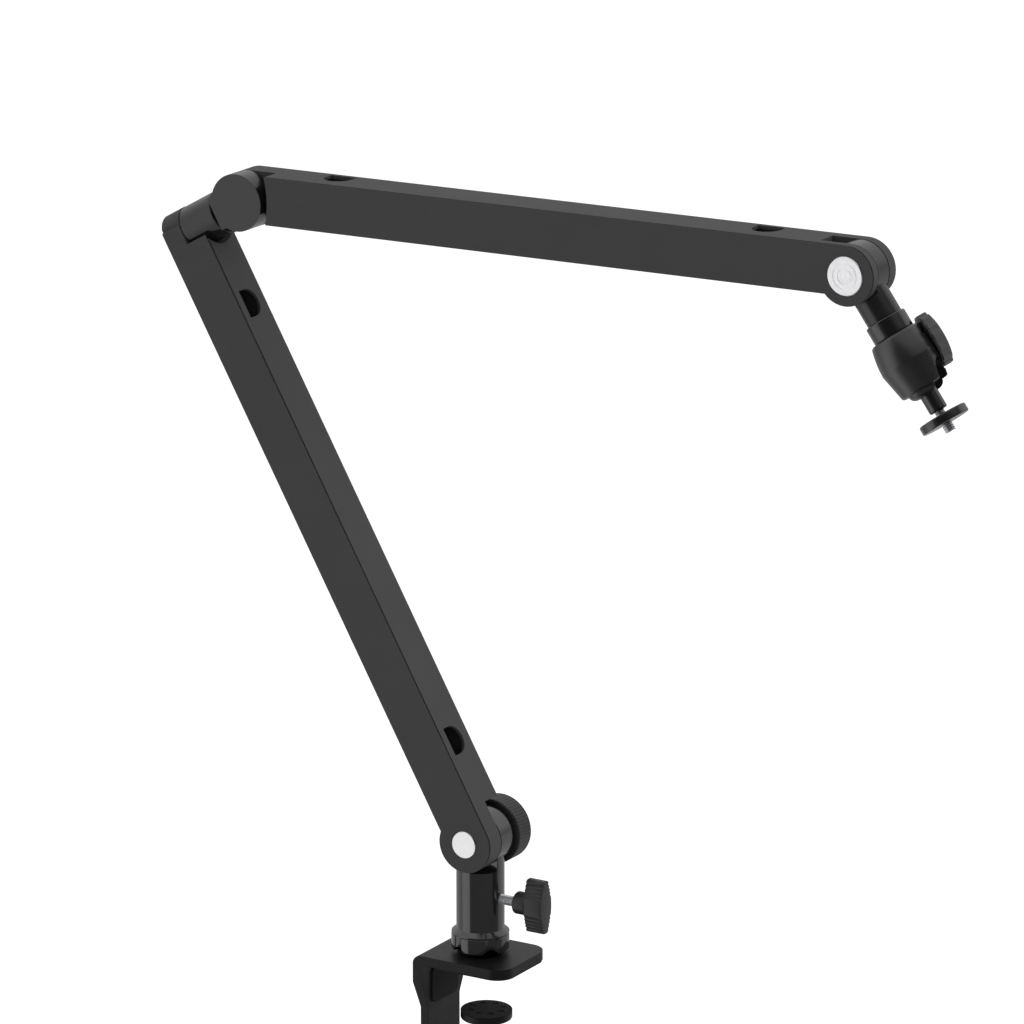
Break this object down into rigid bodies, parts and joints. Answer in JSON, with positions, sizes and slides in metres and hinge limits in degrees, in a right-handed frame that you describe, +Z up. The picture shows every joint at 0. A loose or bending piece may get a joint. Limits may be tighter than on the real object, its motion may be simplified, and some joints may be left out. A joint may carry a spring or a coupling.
{
  "type": "microphone boom arm",
  "caption": "Desk-clamped microphone boom arm: swivel post, tilting lower arm, swivelling elbow, upper arm with cable channel, and a tilting head with a ball joint and screw.",
  "frame": {"origin": "on the desk top, at the underside of the clamp's pad, below the post's axis", "axes": "+X over the desk, the way the upper arm points; +Z up; all tilt hinges lie along Y"},
  "size_m": [0.5159, 0.0512, 0.5703],
  "materials": {
    "clamp_steel": "matte",
    "pad_rubber": "matte",
    "plain_steel": "satin",
    "silver_cap": "satin",
    "washer_polymer": "satin",
    "knob_plastic": "satin",
    "joint_gloss": "gloss",
    "arm_anodised": "matte",
    "cover_anodised": "matte",
    "nut_brass": "satin",
    "ring_black": "satin"
  },
  "bodies": {
    "clamp": {"clamp_frame": "clamp_steel", "desk_pad": "pad_rubber", "edge_pad": "pad_rubber", "jaw_bush": "plain_steel", "pivot_shaft": "plain_steel", "pivot_screw": "plain_steel"},
    "jaw": {"pressure_plate": "clamp_steel", "pressure_pad": "pad_rubber"},
    "spindle": {"clamp_spindle": "plain_steel", "hand_knob": "knob_plastic"},
    "lock_ring": {"lock_ring": "ring_black"},
    "post": {"post_body": "joint_gloss", "post_bush": "washer_polymer"},
    "thumbscrew": {"thumbscrew_stem": "plain_steel", "thumbscrew_wing": "knob_plastic"},
    "lower_arm": {"lower_arm_channel": "arm_anodised", "lower_arm_cover": "cover_anodised", "lower_cover_studs": "plain_steel", "elbow_barrel": "joint_gloss", "swivel_bush": "washer_polymer", "base_bolt": "plain_steel", "base_cap": "silver_cap", "base_washers": "washer_polymer"},
    "tension_knob": {"tension_knob": "knob_plastic", "tension_nut": "nut_brass"},
    "knuckle": {"elbow_knuckle": "joint_gloss", "swivel_screw": "plain_steel"},
    "upper_arm": {"upper_arm_channel": "arm_anodised", "upper_arm_cover": "cover_anodised", "upper_cover_studs": "plain_steel", "elbow_bolt": "plain_steel", "elbow_washer": "washer_polymer", "head_bolt": "plain_steel", "head_cap": "silver_cap", "head_nut": "plain_steel", "head_washers": "washer_polymer"},
    "yoke": {"head_yoke": "joint_gloss", "swivel_clip": "plain_steel"},
    "head": {"swivel_collar": "joint_gloss", "ball_housing": "joint_gloss", "ball_cup": "washer_polymer"},
    "lock_knob": {"lock_screw": "plain_steel", "lock_knob": "knob_plastic"},
    "ball": {"ball_stem": "joint_gloss", "camera_screw": "plain_steel"},
    "disc": {"lock_disc": "ring_black"}
  },
  "joints": [
    {"name": "spindle_turn", "type": "hinge", "parent": "jaw", "child": "spindle", "pos_m": [0.004, 0, -0.06], "axis": [0, 0, 1], "range_deg": [-2640, 2160]},
    {"name": "jaw_slide", "type": "slide", "parent": "clamp", "child": "jaw", "axis": [0, 0, 1], "range_m": [-0.022, 0.018]},
    {"name": "lock_ring_turn", "type": "hinge", "parent": "clamp", "child": "lock_ring", "pos_m": [0, 0, 0.0138], "axis": [0, 0, 1], "range_deg": [0, 90]},
    {"name": "post_turn", "type": "hinge", "parent": "clamp", "child": "post", "pos_m": [0, 0, 0.03], "axis": [0, 0, 1], "continuous": true},
    {"name": "thumbscrew_turn", "type": "hinge", "parent": "post", "child": "thumbscrew", "pos_m": [0.02, 0, 0.0405], "axis": [1, 0, 0], "range_deg": [0, 360]},
    {"name": "base_tilt", "type": "hinge", "parent": "post", "child": "lower_arm", "pos_m": [0, -0.0043, 0.0757], "axis": [0, 1, 0], "range_deg": [-60, 60]},
    {"name": "tension_knob_turn", "type": "hinge", "parent": "lower_arm", "child": "tension_knob", "pos_m": [0, 0.017, 0.0757], "axis": [0, 1, 0], "range_deg": [0, 360]},
    {"name": "elbow_swivel", "type": "hinge", "parent": "lower_arm", "child": "knuckle", "pos_m": [-0.19125, -0.0043, 0.41099], "axis": [0.8686, 0, 0.4955], "range_deg": [-170, 170]},
    {"name": "elbow_tilt", "type": "hinge", "parent": "knuckle", "child": "upper_arm", "pos_m": [-0.15155, -0.0043, 0.43363], "axis": [0, 1, 0], "range_deg": [-110, 45]},
    {"name": "head_tilt", "type": "hinge", "parent": "upper_arm", "child": "yoke", "pos_m": [0.24141, -0.0043, 0.43912], "axis": [0, 1, 0], "range_deg": [-115, 55]},
    {"name": "head_swivel", "type": "hinge", "parent": "yoke", "child": "head", "pos_m": [0.24141, -0.0043, 0.43912], "axis": [0.5878, 0, -0.809], "continuous": true},
    {"name": "lock_knob_turn", "type": "hinge", "parent": "head", "child": "lock_knob", "pos_m": [0.27227, -0.0043, 0.39665], "axis": [0.582, 0.6947, 0.4228], "range_deg": [0, 270]},
    {"name": "ball_tilt", "type": "hinge", "parent": "head", "child": "ball", "pos_m": [0.27903, -0.0043, 0.38734], "axis": [0.1126, -0.9903, 0.0818], "range_deg": [0, 55]},
    {"name": "disc_turn", "type": "hinge", "parent": "ball", "child": "disc", "pos_m": [0.27903, -0.0043, 0.38734], "axis": [0.5878, 0, -0.809], "range_deg": [-360, 360]}
  ],
  "couplings": [
    {"joint": "spindle_turn", "follows": "jaw_slide", "rad_per_m": 2094.4}
  ]
}
